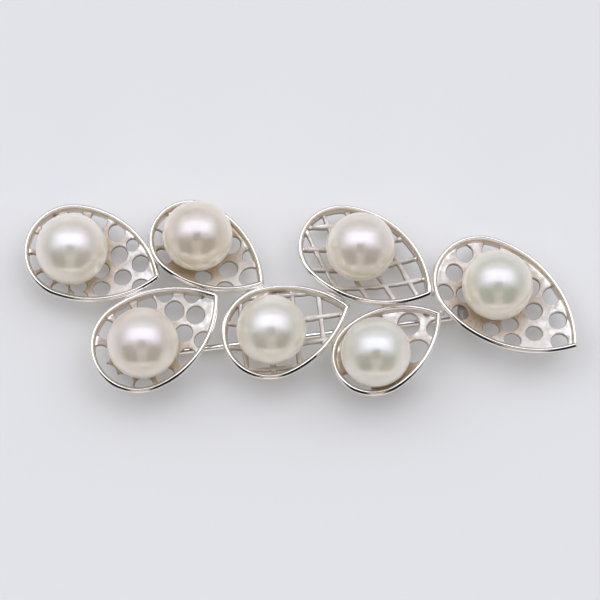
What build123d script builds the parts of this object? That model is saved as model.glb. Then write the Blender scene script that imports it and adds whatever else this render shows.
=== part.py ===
from build123d import *
from math import cos, radians, sin, sqrt
import os

# Pearl brooch: seven petal-shaped settings soldered side to side, a pearl on a peg in each,
# and a pin along the back. Lengths are in millimetres and angles in degrees.
# It lies on its back: +Z is up, z = 0 is the surface that it rests on, +X is its length.

# The rims share one plane, which leans back from the near side
lean = 6.0
rim_height = 4.06
middle_x = 0.3
middle_y = 0.08

# Petal: an upright strip with a rounded top edge, then a narrow ledge, and inside it a plate that
# runs down to a round floor under the pearl
strip_wall = 0.45
strip_height = 1.5
strip_round = 0.18
ledge_depth = 0.95
ledge_width = 0.2
dish_depth = 1.65
floor_radius = 1.6
plate_wall = 0.4
bowl_radius = 2.0

# Openings of the plates: round holes, or the windows between crossing bars
bar_width = 0.56
least_window = 0.4

# Pearl: half-drilled, on a peg that stands in a shallow cup
pearl_gap = 0.05
cup_radius = 1.5
cup_floor = 0.2
cup_lip = 0.45
peg_radius = 0.4
peg_length = 2.6

# Solder fills the wedge where two strips meet
solder_reach = 0.18
solder_drop = 0.25
solder_height = 0.9

# Pin along the back: a round stem that lies in a hinge foot and a catch foot
stem_size = 0.7
stem_height = 0.78
stem_gap = 0.05
stem_x = -17.4
stem_y = -6.0
stem_heading = 7.2
stem_length = 37.0
stem_point = 1.4
stem_tip = 0.24
hinge_place = 0.7
catch_place = 35.2
foot_length = 1.0
foot_width = 1.9
foot_bite = 0.15

# Petals, in the leaning plane: x and y of the middle of the round end, heading of the tip,
# reach from that middle to the tip, radii of the round end and of the left and right sides,
# roll about the heading (below zero is left side down), the pearl's size and its place.
# Holes are given by shares of the reach along the petal and of the end's radius across it. They
# have one size in a petal, unless a third number gives one its own. Bars are given by their
# heading from the petal's own, their pitch and the first one's shift to its left.
petals = {
    "far_left": dict(
        x=-24.85, y=5.25, heading=-17.7, reach=10.0, end=5.4, left=10.1, right=11.4, roll=0.0,
        pearl=7.75, pearl_x=0.1, pearl_y=-0.35, hole=1.8,
        holes=((0.47, 0.28), (0.73, 0.21), (0.37, 0.68), (0.58, 0.53, 1.3), (0.59, -0.16),
               (0.41, -0.52), (0.82, -0.26), (0.14, 0.82), (0.33, -0.12), (0.16, -0.59),
               (-0.01, -0.79), (-0.21, -0.70), (0.23, -0.86), (-0.38, -0.42), (-0.44, 0.0),
               (-0.36, 0.44), (-0.12, 0.74))),
    "upper_left": dict(
        x=-12.0, y=6.6, heading=-33.3, reach=9.45, end=4.7, left=10.8, right=10.6, roll=-5.0,
        pearl=7.6, pearl_x=0.7, pearl_y=0.1, hole=1.8,
        holes=((0.51, 0.01), (0.77, 0.07), (0.40, 0.50), (0.63, 0.43), (0.34, -0.52),
               (0.62, -0.45), (-0.17, -0.64), (-0.36, -0.36), (-0.42, 0.05), (-0.28, 0.48),
               (0.02, 0.74), (0.30, 0.84))),
    "lower_left": dict(
        x=-17.55, y=-5.4, heading=33.7, reach=10.3, end=5.3, left=11.9, right=10.9, roll=0.0,
        pearl=7.65, pearl_x=0.3, pearl_y=-0.5, hole=2.0,
        holes=((0.69, -0.04), (0.53, 0.27), (0.48, -0.22), (0.60, -0.59), (0.36, -0.70),
               (0.74, 0.33), (0.53, 0.62), (0.32, 0.68), (0.07, 0.82), (-0.18, 0.69),
               (-0.37, 0.31), (-0.42, -0.08), (-0.33, -0.42), (-0.18, -0.72), (0.06, -0.78),
               (0.87, 0.06))),
    "lower_middle": dict(
        x=-3.5, y=-4.0, heading=19.1, reach=9.2, end=5.2, left=11.2, right=12.2, roll=0.0,
        pearl=7.5, pearl_x=0.15, pearl_y=-0.25,
        bars=(dict(heading=-14, pitch=2.7, shift=1.65),
              dict(heading=77, pitch=2.85, shift=-0.05))),
    "upper_middle": dict(
        x=4.4, y=5.8, heading=-29.5, reach=11.1, end=4.9, left=10.3, right=11.2, roll=-5.0,
        pearl=7.5, pearl_x=2.0, pearl_y=0.25,
        bars=(dict(heading=37, pitch=2.47, shift=0.45),
              dict(heading=-34, pitch=2.5, shift=-0.05))),
    "lower_right": dict(
        x=7.7, y=-6.5, heading=33.3, reach=8.75, end=4.65, left=9.1, right=10.6, roll=-8.0,
        pearl=7.5, pearl_x=0.05, pearl_y=-0.45, hole=1.9,
        holes=((0.59, 0.32), (0.84, -0.19), (0.52, -0.40), (0.86, 0.20), (-0.42, -0.12),
               (-0.10, -0.72), (-0.34, -0.46), (0.22, -0.74), (-0.36, 0.34), (-0.08, 0.72),
               (0.27, 0.76))),
    "far_right": dict(
        x=19.4, y=1.85, heading=-35.9, reach=12.65, end=5.35, left=12.4, right=12.8, roll=-5.0,
        pearl=7.6, pearl_x=1.9, pearl_y=0.0, hole=1.8,
        holes=((-0.27, 0.36), (-0.24, -0.09), (-0.20, -0.57), (-0.06, -0.32), (0.01, -0.73),
               (0.30, -0.64), (0.40, -0.30), (0.50, 0.21), (0.72, 0.30), (0.62, -0.20),
               (0.51, -0.60), (0.84, -0.06), (0.55, 0.66), (0.36, 0.60), (-0.11, 0.75),
               (0.12, 0.80))),
}

# Petals that touch, side by side
soldered = (
    ("far_left", "upper_left"),
    ("far_left", "lower_left"),
    ("upper_left", "lower_left"),
    ("upper_left", "lower_middle"),
    ("lower_middle", "upper_middle"),
    ("lower_middle", "lower_right"),
    ("upper_middle", "lower_right"),
    ("upper_middle", "far_right"),
    ("lower_right", "far_right"),
)

# Sizes that follow from those above
dish_floor = ledge_depth + dish_depth
petal_depth = dish_floor + plate_wall
stem_bore = stem_size / 2 + stem_gap
stem_place = Location((middle_x + stem_x, middle_y + stem_y, 0), (0, 0, stem_heading))

leaning_plane = Plane(
    origin=(middle_x, middle_y, rim_height),
    x_dir=(1, 0, 0),
    z_dir=(0, sin(radians(lean)), cos(radians(lean))),
)


def petal_plane(petal):
    """Plane of a petal's rim: middle in the round end, x towards the tip, z out of the dish."""
    return Plane(leaning_plane * flat_place(petal) * Location((0, 0, 0), (petal["roll"], 0, 0)))


def flat_place(petal):
    """Place of a petal's outline in the leaning plane, before it rolls."""
    return Location((petal["x"], petal["y"], 0), (0, 0, petal["heading"]))


def side_middle(petal, side):
    """Middle of a side's arc: it runs on smoothly from the round end and ends at the tip."""
    apart = petal[side] - petal["end"]
    x = (petal["reach"] ** 2 + apart**2 - petal[side] ** 2) / (2 * petal["reach"])
    y = sqrt(apart**2 - x**2)
    return Vector(x, -y) if side == "left" else Vector(x, y)


def arc_top(middle, radius, start, end):
    """Point halfway along the arc about a middle, from start to end."""
    towards = (start - middle).normalized() + (end - middle).normalized()
    return middle + towards.normalized() * radius


def petal_corners(petal, inset):
    """Tip of the inset outline, and where its round end meets the left and the right side."""
    end = petal["end"] - inset
    left = petal["left"] - inset
    right = petal["right"] - inset
    left_middle = side_middle(petal, "left")
    right_middle = side_middle(petal, "right")
    # The tip is where the arcs of the two sides cross
    across = right_middle - left_middle
    along = (left**2 - right**2 + across.length**2) / (2 * across.length)
    unit = across.normalized()
    tip = left_middle + unit * along + Vector(unit.Y, -unit.X) * sqrt(left**2 - along**2)
    return tip, left_middle.normalized() * -end, right_middle.normalized() * -end


def petal_face(petal, inset):
    """Petal outline, inset by a distance: an arc round the end and one along each side."""
    tip, left_touch, right_touch = petal_corners(petal, inset)
    left_top = arc_top(side_middle(petal, "left"), petal["left"] - inset, tip, left_touch)
    right_top = arc_top(side_middle(petal, "right"), petal["right"] - inset, right_touch, tip)
    with BuildSketch() as sketch:
        with BuildLine():
            ThreePointArc(tip, left_top, left_touch)
            ThreePointArc(left_touch, (inset - petal["end"], 0), right_touch)
            ThreePointArc(right_touch, right_top, tip)
        make_face()
    return sketch.sketch


def floor_face(petal, radius):
    """Disc under the pearl, whose rim is parted in line with the corners of the outline."""
    middle = Vector(petal["pearl_x"], petal["pearl_y"])
    tip, left, right = [
        middle + (corner - middle).normalized() * radius for corner in petal_corners(petal, 0)
    ]
    with BuildSketch() as sketch:
        with BuildLine():
            ThreePointArc(tip, arc_top(middle, radius, tip, left), left)
            ThreePointArc(left, middle - Vector(radius, 0), right)
            ThreePointArc(right, arc_top(middle, radius, right, tip), tip)
        make_face()
    return sketch.sketch


def petal_body(petal):
    """Petal without its hollow: the strip with its rounded top edge, and the bowl below it."""
    with BuildPart() as body:
        with BuildSketch():
            add(petal_face(petal, 0))
        extrude(amount=-strip_height)
        fillet(body.faces().sort_by(Axis.Z)[-1].edges(), strip_round)
        with BuildSketch(Plane.XY.offset(-strip_height)):
            add(petal_face(petal, 0))
        with BuildSketch(Plane.XY.offset(-petal_depth)):
            add(floor_face(petal, bowl_radius))
        loft()
    return body.part


def petal_hollow(petal):
    """Hollow of a petal: straight down to the ledge, then the dish."""
    with BuildPart() as hollow:
        with BuildSketch():
            add(petal_face(petal, strip_wall))
        extrude(amount=-ledge_depth)
        with BuildSketch(Plane.XY.offset(-ledge_depth)):
            add(petal_face(petal, strip_wall + ledge_width))
        with BuildSketch(Plane.XY.offset(-dish_floor)):
            add(floor_face(petal, floor_radius))
        loft()
    return hollow.part


def hole_openings(petal):
    """Round holes, at their shares of the petal's reach and of its end's radius."""
    with BuildSketch() as openings:
        for along, across, *own in petal["holes"]:
            with Locations((along * petal["reach"], across * petal["end"])):
                Circle(own[0] / 2 if own else petal["hole"] / 2)
        add(petal_face(petal, strip_wall), mode=Mode.INTERSECT)
    return openings.faces()


def grid_openings(petal):
    """Windows of a grid: the plate less two families of bars, side by side at a pitch."""
    bar_length = 2 * (petal["reach"] + petal["end"])
    with BuildSketch() as openings:
        add(petal_face(petal, strip_wall))
        for family in petal["bars"]:
            count = int(bar_length / 2 / family["pitch"])
            turn = (0, 0, family["heading"])
            for step in range(-count, count + 1):
                aside = Vector(0, family["shift"] + step * family["pitch"])
                with Locations(Location(aside.rotate(Axis.Z, family["heading"]), turn)):
                    Rectangle(bar_length, bar_width, mode=Mode.SUBTRACT)
    return openings.faces()


def pearl_middle(petal):
    """Middle of the pearl in the petal's own axes."""
    height = petal["pearl"] / 2 + pearl_gap + cup_floor - dish_floor
    return Vector(petal["pearl_x"], petal["pearl_y"], height)


def petal_setting(petal):
    """One petal of silver: strip, ledge, pierced dish, and the cup and peg for its pearl."""
    openings = hole_openings(petal) if "holes" in petal else grid_openings(petal)
    seat = (petal["pearl_x"], petal["pearl_y"])
    with BuildPart() as setting:
        add(petal_body(petal))
        add(petal_hollow(petal), mode=Mode.SUBTRACT)
        # The strip's inner top edges: the two sides and the round end
        rim = setting.faces().filter_by(Plane.XY).sort_by(Axis.Z)[-1]
        fillet(rim.inner_wires()[0].edges(), strip_round)
        with BuildSketch(Plane.XY.offset(-petal_depth - plate_wall)):
            add([window for window in openings if window.area > least_window])
            with Locations(seat):
                Circle(cup_radius, mode=Mode.SUBTRACT)
        extrude(amount=petal_depth + plate_wall - ledge_depth / 2, mode=Mode.SUBTRACT)
        with BuildSketch(Plane.XY.offset(-petal_depth)):
            with Locations(seat):
                Circle(cup_radius)
        extrude(amount=plate_wall + cup_floor + cup_lip)
        with Locations(pearl_middle(petal)):
            Sphere(petal["pearl"] / 2 + pearl_gap, mode=Mode.SUBTRACT)
        with BuildSketch(Plane.XY.offset(-dish_floor)):
            with Locations(seat):
                Circle(peg_radius)
        extrude(amount=cup_floor + peg_length)
    return petal_plane(petal).location * setting.part


def solder_joint(petal, other):
    """Solder between two strips: where both outlines, widened past their gap, lie over each other."""
    outline = flat_place(petal) * petal_face(petal, 0)
    gap = outline.distance_to(flat_place(other) * petal_face(other, 0))
    with BuildPart() as joint:
        with BuildSketch(leaning_plane.offset(-solder_drop - solder_height)):
            add(flat_place(petal) * petal_face(petal, -solder_reach - gap))
            add(flat_place(other) * petal_face(other, -solder_reach - gap), mode=Mode.INTERSECT)
        extrude(amount=solder_height)
    return joint.part


def foot(place, petal, hooked):
    """Foot under a petal that holds the stem: a block with a bore, or open to the near side."""
    along_stem = stem_place * Location((place, 0, 0))
    bowl = petal_plane(petal).offset(foot_bite).location * petal_body(petal)
    with BuildPart() as block:
        with Locations(along_stem):
            Box(foot_length, foot_width, rim_height, align=(Align.CENTER, Align.CENTER, Align.MIN))
        with Locations(along_stem * Location((0, 0, stem_height), (0, 90, 0))):
            Cylinder(stem_bore, foot_length, mode=Mode.SUBTRACT)
        if hooked:
            with Locations(along_stem * Location((0, 0, stem_height))):
                Box(foot_length, foot_width, 2 * stem_bore, mode=Mode.SUBTRACT,
                    align=(Align.CENTER, Align.MAX, Align.CENTER))
        add(bowl, mode=Mode.SUBTRACT)
    return block.part


os.makedirs("parts", exist_ok=True)

with BuildPart() as silver_frame:
    settings = [petal_setting(petal) for petal in petals.values()]
    joints = [solder_joint(petals[name], petals[other]) for name, other in soldered]
    hinge_foot = foot(hinge_place, petals["lower_left"], hooked=False)
    catch_foot = foot(catch_place, petals["far_right"], hooked=True)
    add([*settings, *joints, hinge_foot, catch_foot])
silver_frame.part.label = "silver_frame"
export_step(silver_frame.part, "parts/silver_frame.step")

for name, petal in petals.items():
    with BuildPart(petal_plane(petal)) as pearl:
        with Locations(pearl_middle(petal)):
            Sphere(petal["pearl"] / 2)
        with Locations((petal["pearl_x"], petal["pearl_y"], -dish_floor)):
            Cylinder(peg_radius + pearl_gap, cup_floor + peg_length + pearl_gap, mode=Mode.SUBTRACT,
                     align=(Align.CENTER, Align.CENTER, Align.MIN))
    pearl.part.label = "pearl_" + name
    export_step(pearl.part, f"parts/pearl_{name}.step")

with BuildPart() as pin:
    with Locations(stem_place * Location((0, 0, stem_height))):
        with Locations(Location((0, 0, 0), (0, 90, 0))):
            Cylinder(stem_size / 2, stem_length - stem_point,
                     align=(Align.CENTER, Align.CENTER, Align.MIN))
        with Locations(Location((stem_length - stem_point, 0, 0), (0, 90, 0))):
            Cone(stem_size / 2, stem_tip / 2, stem_point,
                 align=(Align.CENTER, Align.CENTER, Align.MIN))
pin.part.label = "pin"
export_step(pin.part, "parts/pin.step")
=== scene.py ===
import bpy
import numpy as np
from math import cos, pi, radians, sin
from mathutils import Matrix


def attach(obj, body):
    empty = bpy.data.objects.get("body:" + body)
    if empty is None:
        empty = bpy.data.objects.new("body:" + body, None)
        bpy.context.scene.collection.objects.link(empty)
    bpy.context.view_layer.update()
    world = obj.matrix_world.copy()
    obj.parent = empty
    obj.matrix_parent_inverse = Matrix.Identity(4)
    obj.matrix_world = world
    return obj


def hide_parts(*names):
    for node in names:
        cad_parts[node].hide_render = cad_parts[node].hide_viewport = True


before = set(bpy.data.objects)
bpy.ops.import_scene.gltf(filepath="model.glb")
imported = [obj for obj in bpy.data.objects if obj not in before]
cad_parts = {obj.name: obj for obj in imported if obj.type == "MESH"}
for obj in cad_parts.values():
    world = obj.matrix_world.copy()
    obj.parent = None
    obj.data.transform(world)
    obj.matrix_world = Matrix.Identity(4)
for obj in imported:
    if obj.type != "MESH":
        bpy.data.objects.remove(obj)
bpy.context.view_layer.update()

# Pearl brooch in metres. The shapes are worked out in millimetres and scaled once, in makePiece.
mm = 0.001

# How the settings lie: their rims share one plane that leans back from the near side
lie = dict(lean=6.0, rimHeight=4.06, middleX=0.3, middleY=0.08)

# Petals, in the leaning plane: place of the middle of the round end, heading of the tip, reach to
# the tip, radii of the end and of the sides, roll, the pearl and its place. Holes are shares of the
# reach along and of the end's radius across; a third number is a hole's own size. Bars have a
# heading, a pitch and a shift to the left.
petals = {
    "far_left": dict(
        x=-24.85, y=5.25, heading=-17.7, reach=10.0, end=5.4, left=10.1, right=11.4, roll=0.0,
        pearl=7.75, pearlX=0.1, pearlY=-0.35, hole=1.8,
        holes=((0.47, 0.28), (0.73, 0.21), (0.37, 0.68), (0.58, 0.53, 1.3), (0.59, -0.16),
               (0.41, -0.52), (0.82, -0.26), (0.14, 0.82), (0.33, -0.12), (0.16, -0.59),
               (-0.01, -0.79), (-0.21, -0.70), (0.23, -0.86), (-0.38, -0.42), (-0.44, 0.0),
               (-0.36, 0.44), (-0.12, 0.74))),
    "upper_left": dict(
        x=-12.0, y=6.6, heading=-33.3, reach=9.45, end=4.7, left=10.8, right=10.6, roll=-5.0,
        pearl=7.6, pearlX=0.7, pearlY=0.1, hole=1.8,
        holes=((0.525, -0.035, 1.95), (0.80, 0.04, 2.25), (0.40, 0.50), (0.645, 0.465, 1.35),
               (0.34, -0.52), (0.64, -0.515), (-0.17, -0.64), (-0.36, -0.36), (-0.42, 0.05),
               (-0.28, 0.48), (0.02, 0.74))),
    "lower_left": dict(
        x=-17.55, y=-5.4, heading=33.7, reach=10.3, end=5.3, left=11.9, right=10.9, roll=0.0,
        pearl=7.65, pearlX=0.3, pearlY=-0.5, hole=2.0,
        holes=((0.69, -0.05, 1.9), (0.53, 0.27), (0.48, -0.22, 1.9), (0.60, -0.59, 1.85),
               (0.36, -0.70), (0.77, 0.33, 1.6), (0.54, 0.66, 1.7), (0.32, 0.68), (0.07, 0.82),
               (-0.18, 0.69), (-0.37, 0.31), (-0.42, -0.08), (-0.33, -0.42), (-0.18, -0.72),
               (0.06, -0.78))),
    "lower_middle": dict(
        x=-3.5, y=-4.0, heading=19.1, reach=9.2, end=5.2, left=11.2, right=12.2, roll=0.0,
        pearl=7.5, pearlX=0.15, pearlY=-0.25,
        bars=(dict(heading=-14, pitch=2.7, shift=1.65),
              dict(heading=77, pitch=2.85, shift=-0.05))),
    "upper_middle": dict(
        x=4.4, y=5.8, heading=-29.5, reach=11.1, end=4.9, left=10.3, right=11.2, roll=-5.0,
        pearl=7.5, pearlX=2.0, pearlY=0.25,
        bars=(dict(heading=37, pitch=2.47, shift=0.45),
              dict(heading=-34, pitch=2.5, shift=-0.05))),
    "lower_right": dict(
        x=7.7, y=-6.5, heading=33.3, reach=8.75, end=4.65, left=9.1, right=10.6, roll=-8.0,
        pearl=7.5, pearlX=0.05, pearlY=-0.45, hole=1.9,
        holes=((0.605, 0.28, 2.3), (0.84, -0.19), (0.485, -0.37, 2.7), (0.87, 0.24, 0.8),
               (-0.42, -0.12), (-0.34, -0.46), (-0.08, 0.72), (0.27, 0.76))),
    "far_right": dict(
        x=19.4, y=1.85, heading=-35.9, reach=12.65, end=5.35, left=12.4, right=12.8, roll=-5.0,
        pearl=7.6, pearlX=1.9, pearlY=0.0, hole=1.8,
        holes=((-0.27, 0.36), (-0.24, -0.09), (-0.20, -0.57), (-0.06, -0.32), (0.01, -0.73),
               (0.30, -0.64), (0.40, -0.30), (0.50, 0.21), (0.72, 0.30), (0.62, -0.20),
               (0.51, -0.60), (0.84, -0.06), (0.55, 0.66), (0.36, 0.60), (-0.11, 0.75),
               (0.12, 0.80))),
}
# Petals that touch, side by side
soldered = (
    ("far_left", "upper_left"), ("far_left", "lower_left"), ("upper_left", "lower_left"),
    ("upper_left", "lower_middle"), ("lower_middle", "upper_middle"),
    ("lower_middle", "lower_right"), ("upper_middle", "lower_right"),
    ("upper_middle", "far_right"), ("lower_right", "far_right"),
)


def makePiece(name, points, faces, materials, slot, *nodes):
    # Points in mm (n, 3), faces as a list of index arrays. A closed mesh whose signed volume, the
    # sum of the triple products of its fan triangles, is negative is turned outside out.
    volume = 0.0
    for block in faces:
        first = points[block[:, 0]]
        for k in range(1, block.shape[1] - 1):
            cross = np.cross(points[block[:, k]], points[block[:, k + 1]])
            volume += np.einsum("ij,ij->", first, cross)
    if volume < 0:
        faces = [block[:, ::-1] for block in faces]
    mesh = bpy.data.meshes.new(name)
    mesh.vertices.add(len(points))
    mesh.vertices.foreach_set("co", (points * mm).astype(np.float32).ravel())
    corners = np.concatenate([block.ravel() for block in faces])
    sizes = np.concatenate([np.full(len(block), block.shape[1]) for block in faces])
    starts = np.concatenate([[0], np.cumsum(sizes)[:-1]])
    mesh.loops.add(len(corners))
    mesh.loops.foreach_set("vertex_index", corners.astype(np.int32))
    mesh.polygons.add(len(sizes))
    mesh.polygons.foreach_set("loop_start", starts.astype(np.int32))
    mesh.polygons.foreach_set("use_smooth", np.ones(len(sizes), bool))
    mesh.update(calc_edges=True)
    mesh.validate()
    piece = bpy.data.objects.new(name, mesh)
    bpy.context.scene.collection.objects.link(piece)
    for material in materials:
        mesh.materials.append(material)
    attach(piece, "root")
    if nodes:
        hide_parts(*nodes)
    return piece


def setShare(piece, name, values):
    # A number from 0 to 1 for each point, which the material reads
    layer = piece.data.attributes.new(name, "FLOAT", "POINT")
    layer.data.foreach_set("value", values.astype(np.float32))


def gridFaces(rows, columns, closedRows=False, closedColumns=False, start=0):
    # Quads between neighbouring rows and columns of a grid of points, wrapped where it is closed
    row = np.arange(rows if closedRows else rows - 1)
    column = np.arange(columns if closedColumns else columns - 1)
    row, column = np.meshgrid(row, column, indexing="ij")
    nextRow = (row + 1) % rows
    nextColumn = (column + 1) % columns
    quads = np.stack([row * columns + column, row * columns + nextColumn,
                      nextRow * columns + nextColumn, nextRow * columns + column], -1)
    return quads.reshape(-1, 4) + start


def revolved(profile, around):
    # Profile (k, 2) of radius and height whose first and last points lie on the axis: each point
    # between them is carried round the axis at equal angles, and a fan closes each end.
    angle = np.arange(around) * 2 * pi / around
    ring = profile[1:-1]
    points = np.stack([ring[:, :1] * np.cos(angle), ring[:, :1] * np.sin(angle),
                       np.repeat(ring[:, 1:], around, 1)], -1).reshape(-1, 3)
    first, last = len(points), len(points) + 1
    points = np.vstack([points, [0, 0, profile[0, 1]], [0, 0, profile[-1, 1]]])
    here = np.arange(around)
    after = (here + 1) % around
    end = (len(ring) - 1) * around
    fans = np.vstack([np.stack([np.full(around, first), after, here], -1),
                      np.stack([np.full(around, last), here + end, after + end], -1)])
    return points, [gridFaces(len(ring), around, closedColumns=True), fans]


def smoothNoise(coordinate, period, waves, rng):
    # Sum of sines of 1 to so many waves over the period, each with a random phase and a weight that
    # falls with its number
    total = 0.0
    for wave in range(1, waves + 1):
        total = total + rng.normal() / wave * np.sin(2 * pi * wave * coordinate / period
                                                     + rng.uniform(0, 2 * pi))
    return total


def petalAxes(petal):
    # Middle of the round end in the rims' plane, and the directions along, across and up as rows
    lean, heading, roll = radians(lie["lean"]), radians(petal["heading"]), radians(petal["roll"])
    right = np.array([1.0, 0.0, 0.0])
    back = np.array([0.0, cos(lean), -sin(lean)])
    up = np.array([0.0, sin(lean), cos(lean)])
    middle = np.array([lie["middleX"], lie["middleY"], lie["rimHeight"]])
    middle = middle + petal["x"] * right + petal["y"] * back
    along = cos(heading) * right + sin(heading) * back
    across = -sin(heading) * right + cos(heading) * back
    return middle, np.array([along, cos(roll) * across + sin(roll) * up,
                             cos(roll) * up - sin(roll) * across])


def toWorld(petal, local):
    # Distances along, across and up, carried into the world from the middle of the round end
    middle, axes = petalAxes(petal)
    return middle + local @ axes


def sideMiddle(petal, side):
    # Middle of a side's arc, which touches the round end and passes through the tip
    apart = petal[side] - petal["end"]
    x = (petal["reach"] ** 2 + apart ** 2 - petal[side] ** 2) / (2 * petal["reach"])
    y = np.sqrt(apart ** 2 - x ** 2)
    return np.array([x, -y if side == "left" else y])


def insetField(petal, u, v):
    # Distance in from the outline: a radius less the distance to its middle. A point ahead of the
    # line through a touching point is measured from that side's arc, ahead of both from the nearer
    # one, and all others from the round end.
    inset = petal["end"] - np.hypot(u, v)
    sides, fronts = [], []
    for side, turn in (("left", 1), ("right", -1)):
        x, y = sideMiddle(petal, side)
        fronts.append(turn * (-x * v + y * u) < 0)
        sides.append(petal[side] - np.hypot(u - x, v - y))
    inset = np.where(fronts[0] & (v >= 0), sides[0], inset)
    inset = np.where(fronts[1] & (v < 0), sides[1], inset)
    return np.where(fronts[0] & fronts[1], np.minimum(*sides), inset)


def outlineLoop(petal, insets, count):
    # Points round the outline at each inset, from the tip over the left side, the round end and the
    # right side: the arcs keep their middles, and the tip is where the two sides' arcs cross
    insets = np.asarray(insets, float)[:, None]
    leftMiddle, rightMiddle = sideMiddle(petal, "left"), sideMiddle(petal, "right")
    left, end, right = petal["left"] - insets, petal["end"] - insets, petal["right"] - insets
    across = rightMiddle - leftMiddle
    length = np.hypot(*across)
    unit = across / length
    along = (left ** 2 - right ** 2 + length ** 2) / (2 * length)
    toTip = np.sqrt(left ** 2 - along ** 2) * np.array([unit[1], -unit[0]])
    tip = leftMiddle + along * unit + toTip
    leftTip = np.arctan2(tip[:, 1:] - leftMiddle[1], tip[:, :1] - leftMiddle[0])
    rightTip = np.arctan2(tip[:, 1:] - rightMiddle[1], tip[:, :1] - rightMiddle[0])
    leftTouch = np.arctan2(-leftMiddle[1], -leftMiddle[0])
    rightTouch = np.arctan2(-rightMiddle[1], -rightMiddle[0])
    share = np.linspace(0, 1, count)[None, :]
    arcs = []
    for middle, radius, first, last in (
            (leftMiddle, left, leftTip, leftTouch),
            (np.zeros(2), end, leftTouch, rightTouch + 2 * pi),
            (rightMiddle, right, rightTouch, rightTip)):
        angle = first + (last - first) * share
        arcs.append(middle + radius[..., None] * np.stack([np.cos(angle), np.sin(angle)], -1))
    return np.concatenate([arcs[0], arcs[1][:, 1:-1], arcs[2]], 1)


def linear(hexColour):
    # From sRGB to linear: a straight line for the darkest tones, then a power of 2.4
    value = np.array([int(hexColour[k:k + 2], 16) for k in (1, 3, 5)]) / 255
    return (*np.where(value <= 0.04045, value / 12.92, ((value + 0.055) / 1.055) ** 2.4), 1.0)


def addNode(tree, kind, inputs=(), **settings):
    # An input that is another node's socket is linked, any other is set
    node = tree.nodes.new(kind)
    for key, value in settings.items():
        setattr(node, key, value)
    for socket, value in dict(inputs).items():
        if isinstance(value, bpy.types.NodeSocket):
            tree.links.new(value, node.inputs[socket])
        else:
            node.inputs[socket].default_value = value
    return node


def newMaterial(name):
    # An empty material, its node tree, and a point's place on the piece
    material = bpy.data.materials.new(name)
    material.use_nodes = True
    tree = material.node_tree
    tree.nodes.clear()
    place = addNode(tree, "ShaderNodeTexCoord").outputs["Object"]
    return material, tree, place


def scaleFor(sizeMm):
    # Noise scale that gives a pattern one feature in so many millimetres
    return 1 / (sizeMm * mm)


def polishedSilver():
    # Silver strip, rhodium plated and hand polished: bright, with the slow ripples that filing and
    # buffing leave, so that reflections along it swell and break. Where the buff doesn't reach, on
    # the strip's inner side, it is rougher, and its colour is warmer: partly patina, partly a
    # painted warm reflection of the pearl and the plate.
    material, tree, place = newMaterial("polished silver")
    dulling = 0.22
    ripples = addNode(tree, "ShaderNodeTexNoise",
                      {"Vector": place, "Scale": scaleFor(0.9), "Detail": 2.0})
    scratches = addNode(tree, "ShaderNodeTexNoise",
                        {"Vector": place, "Scale": scaleFor(0.12), "Detail": 3.0})
    wavy = addNode(tree, "ShaderNodeBump", {"Height": ripples.outputs["Fac"], "Strength": 1.0,
                                            "Distance": 0.02 * mm})
    fine = addNode(tree, "ShaderNodeBump", {"Height": scratches.outputs["Fac"], "Strength": 0.35,
                                            "Distance": 0.003 * mm, "Normal": wavy.outputs[0]})
    paintedWarmReflection = addNode(tree, "ShaderNodeAttribute", attribute_name="paintedWarmReflection").outputs["Fac"]
    rough = addNode(tree, "ShaderNodeMapRange", {"Value": scratches.outputs["Fac"],
                                                 "To Min": 0.05, "To Max": 0.14})
    duller = addNode(tree, "ShaderNodeMath", {0: paintedWarmReflection, 1: dulling, 2: rough.outputs[0]},
                     operation="MULTIPLY_ADD")
    # The warm tint on the inner side is partly patina and partly a painted reflection of the pearl
    # and the plate
    tint = addNode(tree, "ShaderNodeValToRGB", {"Fac": paintedWarmReflection})
    tint.color_ramp.elements[0].color = linear("#f4efe7")
    tint.color_ramp.elements[1].color = linear("#e9ddcf")
    shader = addNode(tree, "ShaderNodeBsdfPrincipled",
                     {"Metallic": 1.0, "Base Color": tint.outputs["Color"],
                      "Roughness": duller.outputs[0], "Normal": fine.outputs[0]})
    addNode(tree, "ShaderNodeOutputMaterial", {"Surface": shader.outputs[0]})
    return material


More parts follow.
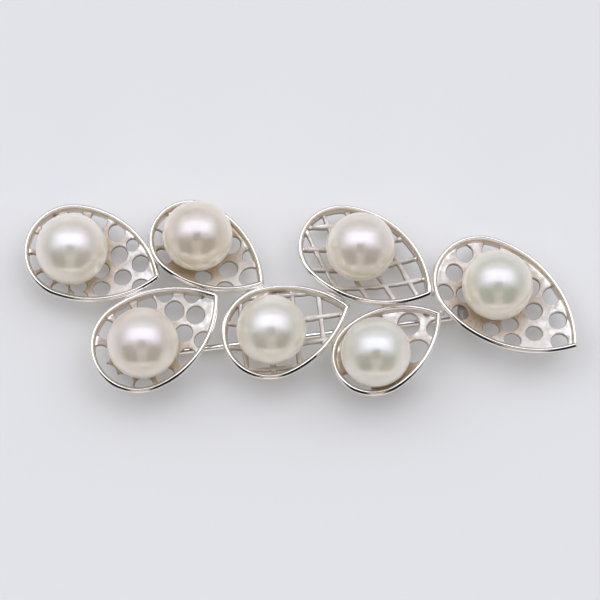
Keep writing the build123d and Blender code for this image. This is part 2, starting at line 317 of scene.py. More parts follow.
def castSilver():
    # Cast silver left satin from tumbling: grainy and softly bright. Low in the dish, around the
    # pearl's foot, its colour carries a painted warm reflection of the pearl and painted shade. The
    # holes' walls and the back carry painted shade.
    material, tree, place = newMaterial("satin cast silver")
    cloudiness, burnish = 0.5, -0.35
    grain = addNode(tree, "ShaderNodeTexNoise",
                    {"Vector": place, "Scale": scaleFor(0.2), "Detail": 4.0})
    clouds = addNode(tree, "ShaderNodeTexNoise",
                     {"Vector": place, "Scale": scaleFor(1.6), "Detail": 4.0})
    paintedWarmReflection = addNode(tree, "ShaderNodeAttribute", attribute_name="paintedWarmReflection").outputs["Fac"]
    paintedShade = addNode(tree, "ShaderNodeAttribute", attribute_name="paintedShade").outputs["Fac"]
    # Painted warm reflection of the pearl and painted shade near it, on top of the metal's random
    # cloudy tone
    both = addNode(tree, "ShaderNodeMath", {0: clouds.outputs["Fac"], 1: cloudiness, 2: paintedWarmReflection},
                   operation="MULTIPLY_ADD")
    tint = addNode(tree, "ShaderNodeValToRGB", {"Fac": both.outputs[0]})
    ramp = tint.color_ramp
    ramp.elements[0].position, ramp.elements[0].color = 0.2, linear("#f0ebe0")
    ramp.elements[1].position, ramp.elements[1].color = 1.0, linear("#e0d1b9")
    ramp.elements.new(0.5).color = linear("#efe8dd")
    # Painted shade: the holes' walls, the plate's back and the feet are mixed towards a darker grey
    shaded = addNode(tree, "ShaderNodeMix", {"Factor": paintedShade, "A": tint.outputs["Color"],
                                             "B": linear("#b4aba2")}, data_type="RGBA")
    bump = addNode(tree, "ShaderNodeBump", {"Height": grain.outputs["Fac"], "Strength": 1.0,
                                            "Distance": 0.045 * mm})
    slow = addNode(tree, "ShaderNodeBump", {"Height": clouds.outputs["Fac"], "Strength": 0.8,
                                            "Distance": 0.06 * mm, "Normal": bump.outputs[0]})
    # Rubbed patches are glossier than the ground between them
    rubbed = addNode(tree, "ShaderNodeTexNoise",
                     {"Vector": place, "Scale": scaleFor(0.7), "Detail": 3.0})
    rough = addNode(tree, "ShaderNodeMapRange", {"Value": rubbed.outputs["Fac"], "From Min": 0.35,
                                                 "From Max": 0.6, "To Min": 0.5, "To Max": 0.9})
    # The ledge beside the strip is burnished and catches the light as a thin bright line
    ledge = addNode(tree, "ShaderNodeAttribute", attribute_name="ledge").outputs["Fac"]
    burnished = addNode(tree, "ShaderNodeMath", {0: ledge, 1: burnish, 2: rough.outputs[0]},
                        operation="MULTIPLY_ADD")
    shader = addNode(tree, "ShaderNodeBsdfPrincipled",
                     {"Metallic": 1.0, "Base Color": shaded.outputs["Result"],
                      "Roughness": burnished.outputs[0], "Normal": slow.outputs[0]})
    addNode(tree, "ShaderNodeOutputMaterial", {"Surface": shader.outputs[0]})
    return material


def nacre(name, pale, deep, rim, overtone):
    # Nacre of a sea pearl: layers of clear platelets over a cream body, with painted light that
    # makes its lower part paler.
    # Light sinks in a little and comes back soft, with a satin reflection above it and a faint
    # overtone.
    material, tree, place = newMaterial(name)
    clouds = addNode(tree, "ShaderNodeTexNoise",
                     {"Vector": place, "Scale": scaleFor(2.6), "Detail": 3.0})
    pits = addNode(tree, "ShaderNodeTexNoise",
                   {"Vector": place, "Scale": scaleFor(0.35), "Detail": 2.0})
    body = addNode(tree, "ShaderNodeValToRGB", {"Fac": clouds.outputs["Fac"]})
    body.color_ramp.elements[0].position = 0.3
    body.color_ramp.elements[0].color = linear(deep)
    body.color_ramp.elements[1].position = 0.7
    body.color_ramp.elements[1].color = linear(pale)
    # Painted light: the lower part is mixed towards a paler tone, standing in for light from below
    # and through the pearl
    paintedUnderLight = addNode(tree, "ShaderNodeAttribute", attribute_name="paintedUnderLight").outputs["Fac"]
    paler = addNode(tree, "ShaderNodeMix", {"Factor": paintedUnderLight, "A": body.outputs["Color"],
                                            "B": linear(rim)}, data_type="RGBA")
    bump = addNode(tree, "ShaderNodeBump", {"Height": pits.outputs["Fac"], "Strength": 0.5,
                                            "Distance": 0.006 * mm})
    slow = addNode(tree, "ShaderNodeBump", {"Height": clouds.outputs["Fac"], "Strength": 0.6,
                                            "Distance": 0.03 * mm, "Normal": bump.outputs[0]})
    shader = addNode(tree, "ShaderNodeBsdfPrincipled", {
        "Base Color": paler.outputs["Result"], "Normal": slow.outputs[0],
        "Roughness": 0.2, "IOR": 2.3, "Specular Tint": linear(overtone),
        "Subsurface Weight": 1.0, "Subsurface Radius": (1.0, 0.95, 0.85),
        "Subsurface Scale": 4.5 * mm,
        "Coat Weight": 1.0, "Coat Roughness": 0.12, "Coat IOR": 1.8,
        "Sheen Weight": 0.6, "Sheen Roughness": 0.4, "Sheen Tint": linear("#fff2dc")})
    addNode(tree, "ShaderNodeOutputMaterial", {"Surface": shader.outputs[0]})
    return material


polished = polishedSilver()
satin = castSilver()
print("materials made")

strip = dict(wall=0.6, height=1.5, taper=0.3, crownRun=(0.0, 0.04, 0.13, 0.26),
             crownTilt=(0.0, 23.0, 39.0, 52.0), crownPoints=14, cornerPoints=5, wallPoints=4,
             arcPoints=110, heightWave=0.02, waves=9, waveDepth=0.5, innerFrom=0.8, innerRun=0.2,
             innerDepth=0.4, seed=31)


def stripProfile():
    # Closed section of the strip as insets and heights. The crown slopes off ever more steeply on
    # both sides of its middle line, then turns round a corner into the wall; its drop is the sum of
    # the tilts' tangents. The outer wall is filed in towards its foot.
    half = strip["wall"] / 2
    run = np.linspace(0, strip["crownRun"][-1], strip["crownPoints"])
    tilt = np.interp(run, strip["crownRun"], np.radians(strip["crownTilt"]))
    drop = np.concatenate([[0], np.cumsum(np.diff(run) * np.tan((tilt[1:] + tilt[:-1]) / 2))])
    last = tilt[-1]
    radius = (half - run[-1]) / (1 - sin(last))
    turn = np.linspace(last, pi / 2, strip["cornerPoints"])[1:]
    drop = np.concatenate([drop, drop[-1] + radius * (cos(last) - np.cos(turn))])
    run = np.concatenate([run, run[-1] + radius * (np.sin(turn) - sin(last))])
    down = np.linspace(0, 1, strip["wallPoints"] + 1)[1:]
    deep = drop[-1] + (strip["height"] - drop[-1]) * down
    insets = np.concatenate([half + run[::-1], half - run[1:], strip["taper"] * down,
                             np.full(strip["wallPoints"], strip["wall"])])
    depths = np.concatenate([drop[::-1], drop[1:], deep, deep[::-1]])
    return insets, -depths


def makeStrip(name, petal, rng):
    # The section is carried round the outline, and its upper part rises and sinks with a slow wave
    # along the way
    insets, heights = stripProfile()
    loop = outlineLoop(petal, insets, strip["arcPoints"])
    way = np.arange(loop.shape[1])
    wave = strip["heightWave"] * smoothNoise(way, loop.shape[1], strip["waves"], rng)
    top = np.clip(1 + heights / strip["waveDepth"], 0, 1)[:, None]
    height = heights[:, None] + top * wave[None, :]
    points = np.concatenate([loop, height[..., None]], -1)
    faces = gridFaces(*points.shape[:2], closedRows=True, closedColumns=True)
    piece = makePiece("strip_" + name, toWorld(petal, points.reshape(-1, 3)), [faces], [polished],
                      "silver", "silver_frame")
    # The buff doesn't reach the inner side below the crown, whose colour carries patina and a
    # painted warm reflection of the pearl and the plate
    inner = np.clip((insets / strip["wall"] - strip["innerFrom"]) / strip["innerRun"], 0, 1)
    below = np.clip(-heights / strip["innerDepth"], 0, 1)
    setShare(piece, "paintedWarmReflection", np.repeat(inner * below, loop.shape[1]))


rng = np.random.default_rng(strip["seed"])
for name, petal in petals.items():
    makeStrip(name, petal, rng)
print("strips made")

plate = dict(floorWall=0.4, rimWall=0.62, bite=0.42, ledgeDepth=0.95, ledgeEdge=0.76,
             dishDepth=1.65, floorRadius=1.6, soften=0.22, edgeRound=0.08, underRound=0.08,
             outlinePoints=240, holeStep=0.068, bar=0.56, barStep=0.056, barLedge=0.65,
             barRound=0.19, barOver=0.12, barSwell=0.048, barWaves=(1.7, 3.1),
             barShifts=(2.3, 1.1), barPaintedReflection=0.45, ridgeFrom=0.6, ridgeRun=0.3, ledgeGlint=0.14,
             ledgeFade=1.5, cup=1.5, paintedReflectionTo=6.2, paintedReflectionRun=3.6, margin=1.0, overlap=0.5, rounds=4,
             probe=0.01, leastSlope=0.5)


def plateTop(petal, u, v):
    # Depth of the plate's upper side below the rim, and how far out a point is: 0 on the round
    # floor under the pearl, 1 at the ledge's edge, in between as its distance from the pearl's
    # middle goes from the floor's radius to the edge's distance in that direction. The depth falls
    # evenly with it, and both corners are evened out by a parabola.
    x, y = u - petal["pearlX"], v - petal["pearlY"]
    edge = outlineLoop(petal, [plate["ledgeEdge"]], plate["outlinePoints"])[0]
    edge = edge - np.array([petal["pearlX"], petal["pearlY"]])
    angle = np.arctan2(edge[:, 1], edge[:, 0])
    order = np.argsort(angle)
    reach = np.interp(np.arctan2(y, x), angle[order], np.hypot(*edge[order].T), period=2 * pi)
    out = (np.hypot(x, y) - plate["floorRadius"]) / (reach - plate["floorRadius"])
    soft = plate["soften"]

    def above(value):
        # Zero below, the value itself above, and a parabola from -soft/2 to soft/2
        bend = np.clip(value + soft / 2, 0, soft) ** 2 / (2 * soft)
        return bend + np.maximum(value - soft / 2, 0)
    share = above(out) - above(out - 1)
    return plate["ledgeDepth"] + plate["dishDepth"] * (1 - share), share


def barField(bars, u, v):
    # How far a point lies inside the nearest of a set of parallel bars
    heading = radians(bars["heading"])
    aside = -sin(heading) * u + cos(heading) * v - bars["shift"]
    number = np.round(aside / bars["pitch"])
    aside = aside - bars["pitch"] * number
    along = cos(heading) * u + sin(heading) * v
    # Cast bars swell and thin out slowly along their length, each in its own way
    (slow, fast), (slowShift, fastShift) = plate["barWaves"], plate["barShifts"]
    swell = (np.sin(along * slow + number * slowShift + heading)
             + np.sin(along * fast + number * fastShift))
    return plate["bar"] / 2 + plate["barSwell"] / 2 * swell - np.abs(aside)


def plateField(petal, u, v):
    # How far a point lies inside the metal: past the nearest hole's edge, or within the nearest
    # bar, or within the disc under the pearl, and never past the outer edge that the strip holds
    inset = insetField(petal, u, v)
    disc = plate["cup"] - np.hypot(u - petal["pearlX"], v - petal["pearlY"])
    if "holes" in petal:
        metal = np.inf
        for along, across, *own in petal["holes"]:
            distance = np.hypot(u - along * petal["reach"], v - across * petal["end"])
            metal = np.minimum(metal, distance - (own[0] if own else petal["hole"]) / 2)
    else:
        metal = plate["barLedge"] - inset
        for bars in petal["bars"]:
            metal = np.maximum(metal, barField(bars, u, v))
    metal = np.maximum(metal, disc)
    return np.minimum(metal, inset - plate["bite"])


def thickCells(cells, start):
    # Drops the cells of webs that are too thin to have a point inside them, one round after
    # another, and then all that doesn't hang together with the starting cell
    while True:
        padded = np.pad(cells, 1)
        around = [padded[:-1, :-1], padded[1:, :-1], padded[:-1, 1:], padded[1:, 1:]]
        edge = sum(one.astype(int) for one in around) < 4
        across = edge[:, :-1] & edge[:, 1:] & padded[:-1, 1:-1] & padded[1:, 1:-1]
        along = edge[:-1] & edge[1:] & padded[1:-1, :-1] & padded[1:-1, 1:]
        pinch = ((around[0] & around[3] & ~around[1] & ~around[2])
                 | (around[1] & around[2] & ~around[0] & ~around[3]))
        thin = across[:-1] | across[1:] | along[:, :-1] | along[:, 1:]
        thin |= pinch[:-1, :-1] | pinch[1:, :-1] | pinch[:-1, 1:] | pinch[1:, 1:]
        thin |= edge[:-1, :-1] & edge[1:, :-1] & edge[:-1, 1:] & edge[1:, 1:]
        if not (thin & cells).any():
            break
        cells = cells & ~thin
    kept = np.zeros_like(cells)
    kept[start] = True
    while True:
        grown = np.pad(kept, 1)
        grown = (kept | grown[:-2, 1:-1] | grown[2:, 1:-1] | grown[1:-1, :-2]
                 | grown[1:-1, 2:]) & cells
        if (grown == kept).all():
            return kept
        kept = grown


def trimmedGrid(petal):
    # A square grid over the petal keeps the cells that lie in the metal. The points on the border
    # of what is kept then move along the field's slope until they lie on its zero line.
    step = plate["holeStep"] if "holes" in petal else plate["barStep"]
    reach = max(petal["left"], petal["right"]) / 2 + plate["margin"]
    u, v = np.meshgrid(np.arange(-petal["end"], petal["reach"], step),
                       np.arange(-reach, reach, step), indexing="ij")
    inside = plateField(petal, u, v) > -plate["overlap"] * step
    cells = inside[:-1, :-1] & inside[1:, :-1] & inside[:-1, 1:] & inside[1:, 1:]
    cells = thickCells(cells, (int((petal["pearlX"] + petal["end"]) / step),
                               int((petal["pearlY"] + reach) / step)))
    quads = gridFaces(*u.shape)[cells.ravel()]
    used, quads = np.unique(quads, return_inverse=True)
    quads = quads.reshape(-1, 4)
    u, v = u.ravel()[used], v.ravel()[used]
    border = np.bincount(quads.ravel(), minlength=len(used)) < 4
    probe = plate["probe"]
    for _ in range(plate["rounds"]):
        x, y = u[border], v[border]
        value = plateField(petal, x, y)
        slopeX = (plateField(petal, x + probe, y) - plateField(petal, x - probe, y)) / (2 * probe)
        slopeY = (plateField(petal, x, y + probe) - plateField(petal, x, y - probe)) / (2 * probe)
        slope = np.maximum(slopeX ** 2 + slopeY ** 2, plate["leastSlope"])
        shift = np.clip(value, -step, step) / slope
        u[border], v[border] = x - shift * slopeX, y - shift * slopeY
    return u, v, quads, border


def quarterRound(share):
    # Height of a quarter circle: the root of 1 less the square of 1 less the share
    return np.sqrt(1 - (1 - np.clip(share, 0, 1)) ** 2)


def makePlate(name, petal):
    # The upper and the lower skin share the border's points and part from there as a quarter
    # ellipse does, so edges come out rounded
    u, v, quads, border = trimmedGrid(petal)
    field = np.maximum(plateField(petal, u, v), 0)
    edge = plate["edgeRound"] if "holes" in petal else plate["barRound"]
    depth, out = plateTop(petal, u, v)
    half = (plate["floorWall"] + (plate["rimWall"] - plate["floorWall"]) * out) / 2
    middle = -depth - half
    upper = np.stack([u, v, middle + half * quarterRound(field / edge)], -1)
    lower = np.stack([u, v, middle - half * quarterRound(field / plate["underRound"])], -1)
    if "bars" in petal:
        # The first set of bars stands up over the second as a rounded ridge
        ridge = quarterRound(barField(petal["bars"][0], u, v) / plate["barRound"])
        inward = (insetField(petal, u, v) - plate["ridgeFrom"]) / plate["ridgeRun"]
        ridge = ridge * np.clip(inward, 0, 1)
        upper[:, 2] = np.maximum(upper[:, 2], middle + ridge * (half + plate["barOver"]))
    upper[border, 2] = lower[border, 2] = middle[border]
    under = np.where(border, np.arange(len(u)), np.cumsum(~border) - 1 + len(u))
    points = np.vstack([upper, lower[~border]])
    piece = makePiece("plate_" + name, toWorld(petal, points), [quads, under[quads][:, ::-1]],
                      [satin], "silver", "silver_frame")
    # A painted warm reflection of the pearl, with painted shade, falls off from the pearl's foot
    # outwards; painted shade darkens the holes' walls and the whole back
    seat = np.hypot(points[:, 0] - petal["pearlX"], points[:, 1] - petal["pearlY"])
    paintedWarmReflection = np.clip((plate["paintedReflectionTo"] - seat) / plate["paintedReflectionRun"], 0, 1)
    setShare(piece, "paintedWarmReflection", paintedWarmReflection * (1.0 if "holes" in petal else plate["barPaintedReflection"]))
    paintedShade = np.concatenate([np.clip(1 - field / plate["edgeRound"], 0, 1), np.ones(np.sum(~border))])
    setShare(piece, "paintedShade", paintedShade)
    wall = insetField(petal, points[:, 0], points[:, 1]) - strip["wall"]
    setShare(piece, "ledge", np.clip(plate["ledgeFade"] - wall / plate["ledgeGlint"], 0, 1))
    return len(quads) * 4


counts = {name: makePlate(name, petal) for name, petal in petals.items()}
print("plates made, triangles:", counts)

cup = dict(radius=1.5, floor=0.2, gap=0.05, under=0.06, edge=0.1, lip=0.05, peg=0.4,
           pegLength=2.6, seatPoints=12, around=72)
pearlShape = dict(rows=110, around=160, drill=0.45, drillOver=0.05, skin=0.9, uneven=0.006,
                  swells=6, swellRate=1.6, smaller=0.001, underLightTop=0.82, underLightRun=0.58, seed=7)
# Each pearl's pale and deep body colour, the paler colour painted on its lower part as light from
# below, and its overtone
tones = {
    "far_left": ("#d7cfbb", "#cdc4ad", "#f7edd5", "#f6f4ff"),
    "upper_left": ("#d4c8b1", "#c7baa3", "#f7e8cc", "#fbfaff"),
    "lower_left": ("#d5cbb7", "#cbc0aa", "#f8ebd3", "#f8f0ff"),
    "lower_middle": ("#d4ceba", "#cbc3ac", "#f7edd4", "#faf8ff"),
    "upper_middle": ("#d5cbb7", "#cbc0aa", "#f8ead0", "#f8f4ff"),
    "lower_right": ("#d3ceba", "#c9c3ad", "#f5ecd6", "#f4f6ff"),
    "far_right": ("#d0ceb6", "#c5c4a9", "#f6eed2", "#ffe8ff"),
}


def dishFloor():
    # Depth of the plate's round floor below the rim
    return plate["ledgeDepth"] + plate["dishDepth"]


def pearlMiddle(petal):
    # The pearl's middle lies a radius and a gap above the floor of its cup
    height = petal["pearl"] / 2 + cup["gap"] + cup["floor"] - dishFloor()
    return np.array([petal["pearlX"], petal["pearlY"], height])


def makeCup(name, petal):
    # Section of the cup and its peg: flat underside, outer wall up to the pearl's own curve, along
    # that curve to the peg, up the peg and over its rounded end
    middle = pearlMiddle(petal)
    reach = petal["pearl"] / 2 + cup["gap"]
    floor = -dishFloor()
    bottom = floor - plate["floorWall"] - cup["under"]
    edge, peg = cup["edge"], cup["peg"]
    radius = np.linspace(cup["radius"] - cup["lip"], peg, cup["seatPoints"])
    seat = np.stack([radius, middle[2] - np.sqrt(reach ** 2 - radius ** 2)], -1)
    top = floor + cup["floor"] + cup["pegLength"]
    profile = np.vstack([
        [[0, bottom], [cup["radius"] - edge, bottom], [cup["radius"], bottom + edge],
         [cup["radius"], seat[0, 1] - cup["lip"]]], seat,
        [[peg, top - edge], [peg - edge, top], [0, top]]])
    points, faces = revolved(profile, cup["around"])
    points[:, :2] += middle[:2]
    makePiece("cup_" + name, toWorld(petal, points), faces, [satin], "silver", "silver_frame")


def makePearl(name, petal, rng):
    # A sphere, each of whose points is moved in or out by a low smooth unevenness, with a drilled
    # hole for the peg: the profile runs from the top over the sphere and up the hole
    radius = petal["pearl"] / 2
    start = np.arcsin(pearlShape["drill"] / radius)
    polar = np.linspace(pi, start, pearlShape["rows"])
    ball = np.stack([radius * np.sin(polar), -radius * np.cos(polar)], -1)
    ball[0, 0] = 0
    depth = ball[-1, 1] + cup["pegLength"] + pearlShape["drillOver"]
    profile = np.vstack([ball, [[pearlShape["drill"], depth], [0, depth]]])
    points, faces = revolved(profile, pearlShape["around"])
    outside = np.linalg.norm(points, axis=1) > pearlShape["skin"] * radius
    unit = points[outside] / radius
    swell = 0.0
    for _ in range(pearlShape["swells"]):
        direction = rng.normal(size=3)
        swell = swell + rng.normal() * np.sin(unit @ direction * pearlShape["swellRate"]
                                              + rng.uniform(0, 2 * pi))
    # The painted light's share grows from 0 high on the pearl to 1 a little above its middle: the
    # lower part is painted paler, as if lit from below and through the pearl
    paintedUnderLight = (pearlShape["underLightTop"] - points[:, 2] / radius) / pearlShape["underLightRun"]
    paintedUnderLight = np.clip(paintedUnderLight, 0, 1)
    paintedUnderLight = paintedUnderLight ** 2 * (3 - 2 * paintedUnderLight)
    uneven = pearlShape["uneven"] / pearlShape["swells"] * swell[:, None]
    points[outside] *= 1 + uneven - pearlShape["smaller"]
    points += pearlMiddle(petal)
    material = nacre("nacre " + name.replace("_", " "), *tones[name])
    piece = makePiece("nacre_" + name, toWorld(petal, points), faces, [material], "pearl",
                      "pearl_" + name)
    setShare(piece, "paintedUnderLight", paintedUnderLight)


rng = np.random.default_rng(pearlShape["seed"])
for name, petal in petals.items():
    makeCup(name, petal)
    makePearl(name, petal, rng)
print("cups and pearls made")

solder = dict(length=1.25, width=0.3, height=0.42, drop=0.72, rows=16, around=32,
              outlinePoints=160, near=0.12)


def solderPlace(petal, other):
    # Middle of the nearest points of the two outlines, and the direction along the outline there
    outlines = []
    for side in (petal, other):
        loop = outlineLoop(side, [0.0], solder["outlinePoints"])[0]
        heading = radians(side["heading"])
        turned = loop @ np.array([[cos(heading), sin(heading)], [-sin(heading), cos(heading)]])
        outlines.append(turned + np.array([side["x"], side["y"]]))
    one, two = outlines
    distance = np.linalg.norm(one[:, None] - two[None], axis=-1)
    first, second = np.argwhere(distance < distance.min() + solder["near"]).T
    middle = (one[first].mean(0) + two[second].mean(0)) / 2
    spread = np.vstack([one[first], two[second]]) - middle
    _, _, axes = np.linalg.svd(spread, full_matrices=False)
    return middle, axes[0]


def makeSolder(name, petal, other):
    # A long bead: an ellipsoid of revolution along the seam, flattened to the seam's own depth
    middle, along = solderPlace(petal, other)
    polar = np.linspace(0, pi, solder["rows"])
    profile = np.stack([np.sin(polar), -np.cos(polar)], -1)
    points, faces = revolved(profile, solder["around"])
    across = np.array([-along[1], along[0]])
    flat = (middle + points[:, 2:] * solder["length"] * along
            + points[:, :1] * solder["width"] * across)
    height = -solder["drop"] + points[:, 1:2] * solder["height"]
    plain = dict(x=0.0, y=0.0, heading=0.0, roll=0.0)
    makePiece("solder_" + name, toWorld(plain, np.hstack([flat, height])), faces, [satin], "silver",
              "silver_frame")


for number, (name, other) in enumerate(soldered, 1):
    makeSolder(f"{number:02d}", petals[name], petals[other])
print("solder made")

pin = dict(x=-17.4, y=-6.0, heading=7.2, size=0.7, height=0.78, length=37.0, edge=0.03,
           point=1.6, pointRun=(0.95, 0.01), pointPower=0.6, pointRows=24, around=40, rows=90)


def stemPoint(along, aside, height):
    # A place along the stem from its start, aside of it and above the floor, turned to its heading
    heading = radians(pin["heading"])
    along, aside, height = np.broadcast_arrays(along, aside, height)
    return np.stack([lie["middleX"] + pin["x"] + along * cos(heading) - aside * sin(heading),
                     lie["middleY"] + pin["y"] + along * sin(heading) + aside * cos(heading),
                     height], -1)


def makePin():
    # Round wire along the stem's line, with a narrow bevel at its start; its radius stays, then
    # falls as a power of a quarter of a cosine to the rounded tip
    half = pin["size"] / 2
    taper = pin["point"] * np.linspace(*pin["pointRun"], pin["pointRows"])
    along = np.concatenate([np.linspace(0, pin["length"] - pin["point"], pin["rows"]),
                            pin["length"] - taper])
    share = np.clip((along - pin["length"] + pin["point"]) / pin["point"], 0, 1)
    radius = half * np.cos(share * pi / 2) ** pin["pointPower"]
    profile = np.vstack([[[0, 0], [half - pin["edge"], 0], [half, pin["edge"]]],
                         np.stack([radius, along], -1)[1:], [[0, pin["length"]]]])
    points, faces = revolved(profile, pin["around"])
    world = stemPoint(points[:, 2], points[:, 0], pin["height"] + points[:, 1])
    makePiece("pin_stem", world, faces, [polished], "silver", "pin")


# A foot's layers have a place, as a share of its length, and how far they are drawn in. The catch's
# top follows the underside of the dish above it and ends inside the dish.
feet = dict(half=0.95, bore=0.4, hinge=0.7, catch=35.2, length=1.0, round=0.12,
            layers=((-0.5, 0.05), (-0.47, 0.0), (0.47, 0.0), (0.5, 0.05)), hingeTop=1.8,
            catchTop=((0.95, 2.35), (0.6, 2.35), (0.3, 2.45), (-0.6, 2.95), (-0.95, 3.2)))


def roundedLoop(corners, radius, arc=6, most=0.45):
    # Closed line round the corners, each turned by a quadratic curve that starts and ends at the
    # radius's distance from it, or at most so large a share of the way to the next corner
    corners = np.array(corners, float)
    before = np.roll(corners, 1, 0) - corners
    after = np.roll(corners, -1, 0) - corners
    lengthBefore = np.linalg.norm(before, axis=1, keepdims=True)
    lengthAfter = np.linalg.norm(after, axis=1, keepdims=True)
    first = corners + before * np.minimum(radius / lengthBefore, most)
    last = corners + after * np.minimum(radius / lengthAfter, most)
    share = np.linspace(0, 1, arc)[None, :, None]
    curve = ((1 - share) ** 2 * first[:, None] + 2 * share * (1 - share) * corners[:, None]
             + share ** 2 * last[:, None])
    return curve.reshape(-1, 2)


def makeFoot(name, place, corners):
    # The section lies across the stem (aside, height) and is carried along it, drawn in a little
    # at both ends, which are closed by flat faces
    loop = roundedLoop(corners, feet["round"])
    middle = loop.mean(0)
    outward = (loop - middle) / np.linalg.norm(loop - middle, axis=1, keepdims=True)
    layers = np.array(feet["layers"])
    ring = np.stack([loop - outward * drawn for drawn in layers[:, 1]])
    along = place + layers[:, :1] * feet["length"]
    world = stemPoint(along, ring[..., 0], ring[..., 1]).reshape(-1, 3)
    count = len(loop)
    caps = np.vstack([np.arange(count)[::-1], np.arange(count) + (len(layers) - 1) * count])
    faces = [gridFaces(len(layers), count, closedColumns=True), caps]
    piece = makePiece(name, world, faces, [satin], "silver", "silver_frame")
    # The whole foot is painted in shade, as it stands under the brooch
    setShare(piece, "paintedShade", np.ones(len(world)))


def makeFeet():
    # The catch's section is open on one side at the stem, the hinge's is a plain block
    half, bore, hingeTop = feet["half"], feet["bore"], feet["hingeTop"]
    low, high = pin["height"] - bore, pin["height"] + bore
    makeFoot("catch_foot", feet["catch"],
             [(-half, 0), (half, 0), *feet["catchTop"], (-half, high), (bore, high), (bore, low),
              (-half, low)])
    makeFoot("hinge_foot", feet["hinge"],
             [(-half, 0), (half, 0), (half, hingeTop), (-half, hingeTop)])


makePin()
makeFeet()
print("pin and feet made")

stage = dict(floor="#cfccc3", glow=0.16, floorSize=600.0, worldStrength=0.9)
# The camera's clip is in metres, its shift in pixels
camera = dict(tilt=11.0, distance=330.0, target=(0.3, 0.08, 3.7), pixel=0.108, shiftX=2, shiftY=3,
              picture=600, sensor=36.0, clip=(0.01, 10.0))


def makeFloor():
    # A flat square sheet at height 0
    size = stage["floorSize"]
    u, v = np.meshgrid(np.linspace(-size, size, 3), np.linspace(-size, size, 3), indexing="ij")
    points = np.stack([u, v, np.zeros_like(u)], -1).reshape(-1, 3)
    mesh = bpy.data.meshes.new("floor")
    mesh.from_pydata((points * mm).tolist(), [], gridFaces(3, 3)[:, ::-1].tolist())
    floor = bpy.data.objects.new("floor", mesh)
    bpy.context.scene.collection.objects.link(floor)
    # Matt white acrylic sheet with a lamp under it, which keeps the shadows on it light
    material, tree, place = newMaterial("matt white acrylic, lit from below")
    grain = addNode(tree, "ShaderNodeTexNoise",
                    {"Vector": place, "Scale": scaleFor(3.0), "Detail": 4.0})
    bump = addNode(tree, "ShaderNodeBump", {"Height": grain.outputs["Fac"], "Strength": 0.2,
                                            "Distance": 0.02 * mm})
    shader = addNode(tree, "ShaderNodeBsdfPrincipled", {
        "Normal": bump.outputs[0], "Base Color": linear(stage["floor"]),
        "Emission Color": (1.0, 1.0, 1.0, 1.0), "Emission Strength": stage["glow"],
        "Roughness": 0.8, "Specular IOR Level": 0.2})
    addNode(tree, "ShaderNodeOutputMaterial", {"Surface": shader.outputs[0]})
    mesh.materials.append(material)


# The studio by direction, flattened about the zenith: (x, y) / (1 + z), so that the horizon is
# the circle of radius 1. Each panel has its middle, its half sizes, how softly it ends, and what it
# adds.
studio = dict(
    base=(0.56, 0.58, 0.64), least=(0.02, 0.02, 0.02), leastHeight=0.2,
    panels=(
        dict(middle=(0.0, 0.23), half=(0.60, 0.33), soft=(0.6, 0.36), adds=(0.6, 0.63, 0.8)),
        dict(middle=(0.0, 0.18), half=(0.42, 0.18), soft=(0.5, 0.18), adds=(1.5, 1.57, 1.9)),
        dict(middle=(0.0, 0.95), half=(1.6, 0.30), soft=(0.4, 0.25), adds=(-0.2, -0.2, -0.18)),
        dict(middle=(0.0, -1.05), half=(1.4, 0.22), soft=(0.3, 0.12), adds=(0.9, 0.81, 0.7)),
        dict(middle=(0.0, -0.44), half=(0.68, 0.30), soft=(0.2, 0.2), adds=(-0.56, -0.58, -0.64)),
        dict(middle=(0.0, -0.50), half=(0.16, 0.30), soft=(0.12, 0.16), adds=(0.6, 0.56, 0.5)),
        dict(middle=(0.0, -0.12), half=(0.11, 0.13), soft=(0.08, 0.12), adds=(-1.25, -1.25, -1.3)),
    ))


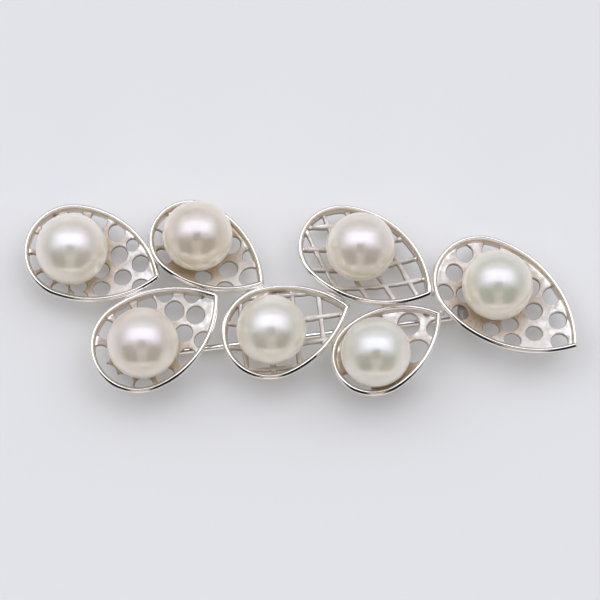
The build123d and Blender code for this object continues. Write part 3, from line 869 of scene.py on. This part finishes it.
def makeStudio():
    # A panel's share is a soft step in x times one in y, and the panels' shares of what they add
    # are summed up on the base
    world = bpy.data.worlds.new("studio")
    bpy.context.scene.world = world
    world.use_nodes = True
    tree = world.node_tree
    tree.nodes.clear()
    direction = addNode(tree, "ShaderNodeTexCoord").outputs["Generated"]
    x, y, z = addNode(tree, "ShaderNodeSeparateXYZ", {0: direction}).outputs
    raised = addNode(tree, "ShaderNodeMath", {0: z, 1: 1.0}, operation="ADD").outputs[0]
    height = addNode(tree, "ShaderNodeMath", {0: raised, 1: studio["leastHeight"]},
                     operation="MAXIMUM").outputs[0]
    flat = [addNode(tree, "ShaderNodeMath", {0: axis, 1: height}, operation="DIVIDE").outputs[0]
            for axis in (x, y)]
    light = addNode(tree, "ShaderNodeCombineXYZ", enumerate(studio["base"])).outputs[0]
    for panel in studio["panels"]:
        share = 1.0
        for place, middle, half, soft in zip(flat, panel["middle"], panel["half"], panel["soft"]):
            off = addNode(tree, "ShaderNodeMath", {0: place, 1: middle}, operation="SUBTRACT")
            off = addNode(tree, "ShaderNodeMath", {0: off.outputs[0]}, operation="ABSOLUTE")
            fade = addNode(tree, "ShaderNodeMapRange",
                           {"Value": off.outputs[0], "From Min": half + soft / 2,
                            "From Max": half - soft / 2}, interpolation_type="SMOOTHSTEP")
            share = addNode(tree, "ShaderNodeMath", {0: fade.outputs[0], 1: share},
                            operation="MULTIPLY").outputs[0]
        adds = addNode(tree, "ShaderNodeVectorMath", {0: panel["adds"], "Scale": share},
                       operation="SCALE")
        light = addNode(tree, "ShaderNodeVectorMath", {0: light, 1: adds.outputs[0]},
                        operation="ADD").outputs[0]
    light = addNode(tree, "ShaderNodeVectorMath", {0: light, 1: studio["least"]},
                    operation="MAXIMUM").outputs[0]
    background = addNode(tree, "ShaderNodeBackground",
                         {"Color": light, "Strength": stage["worldStrength"]})
    addNode(tree, "ShaderNodeOutputWorld", {"Surface": background.outputs[0]})


def makeCamera():
    # The lens is as long as makes a picture's pixel the camera's pixel wide at the target
    tilt = radians(camera["tilt"])
    data = bpy.data.cameras.new("camera")
    view = bpy.data.objects.new("camera", data)
    bpy.context.scene.collection.objects.link(view)
    target = np.array(camera["target"])
    away = np.array([0, -sin(tilt), cos(tilt)]) * camera["distance"]
    view.location = (target + away) * mm
    view.rotation_euler = (tilt, 0, 0)
    data.sensor_width = camera["sensor"]
    data.lens = camera["sensor"] * camera["distance"] / (camera["picture"] * camera["pixel"])
    data.shift_x = -camera["shiftX"] / camera["picture"]
    data.shift_y = -camera["shiftY"] / camera["picture"]
    data.clip_start, data.clip_end = camera["clip"]
    bpy.context.scene.camera = view


makeFloor()
makeStudio()
makeCamera()
bpy.context.scene.view_settings.view_transform = "Standard"
print("stage made")
